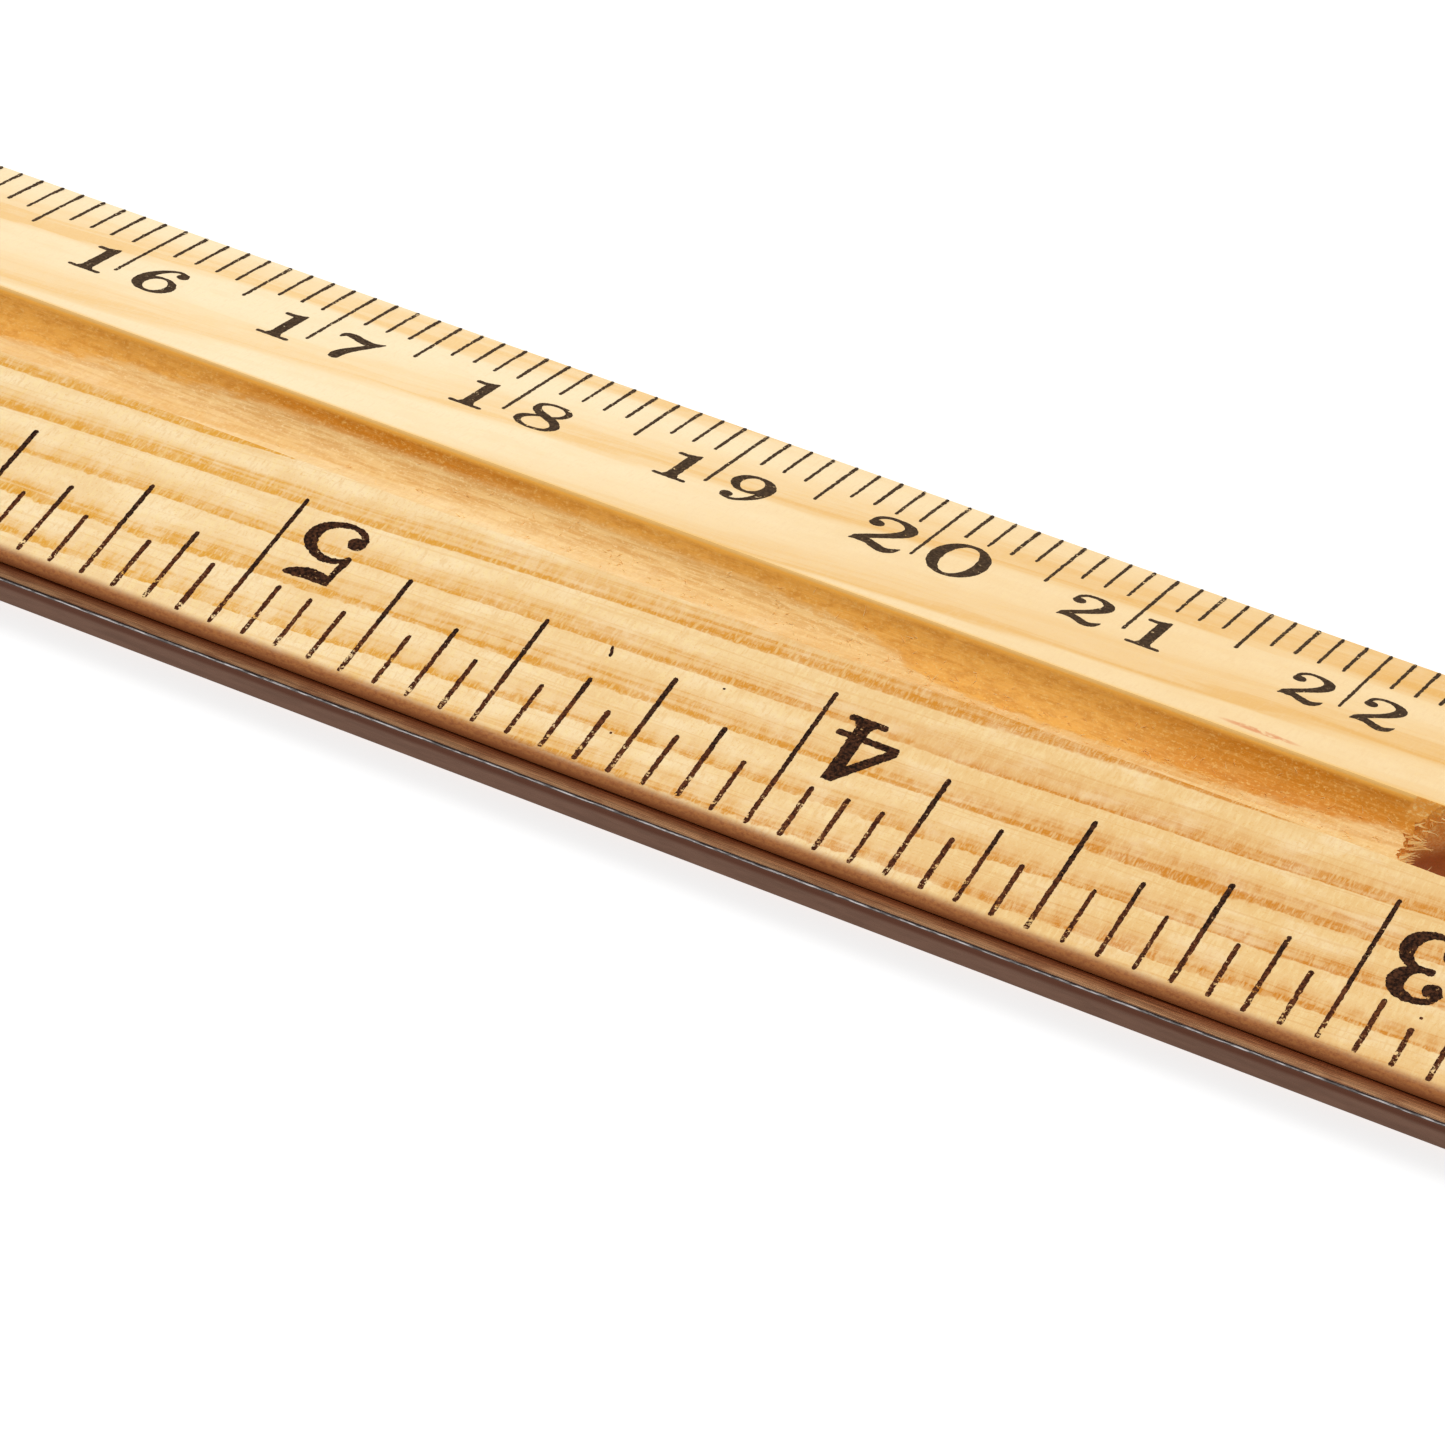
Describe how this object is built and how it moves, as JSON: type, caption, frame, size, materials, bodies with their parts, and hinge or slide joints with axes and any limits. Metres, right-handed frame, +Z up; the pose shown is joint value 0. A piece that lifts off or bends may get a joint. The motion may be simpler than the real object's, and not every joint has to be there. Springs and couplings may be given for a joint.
{
  "type": "wooden ruler with steel edge",
  "caption": "Lacquered pine school ruler with inch and centimetre scales, a pencil groove, ring-binder holes, a thin bevelled edge and a steel straight edge.",
  "frame": {"origin": "centre of the flat underside's bounding box, steel edge included", "axes": "+X along the ruler from its left end (metric zero) to its right end (inch zero), +Y from the steel edge to the thin bevelled edge, +Z up out of the printed side"},
  "size_m": [0.3048, 0.0268, 0.0042],
  "materials": {
    "lacquered_pine": "clear lacquer, satin to gloss, with stamped black-brown scales",
    "steel_strip": "smooth rolled steel under brown-tinted lacquer"
  },
  "bodies": {
    "root": {"wood_body": "lacquered_pine", "steel_edge": "steel_strip"}
  },
  "joints": []
}
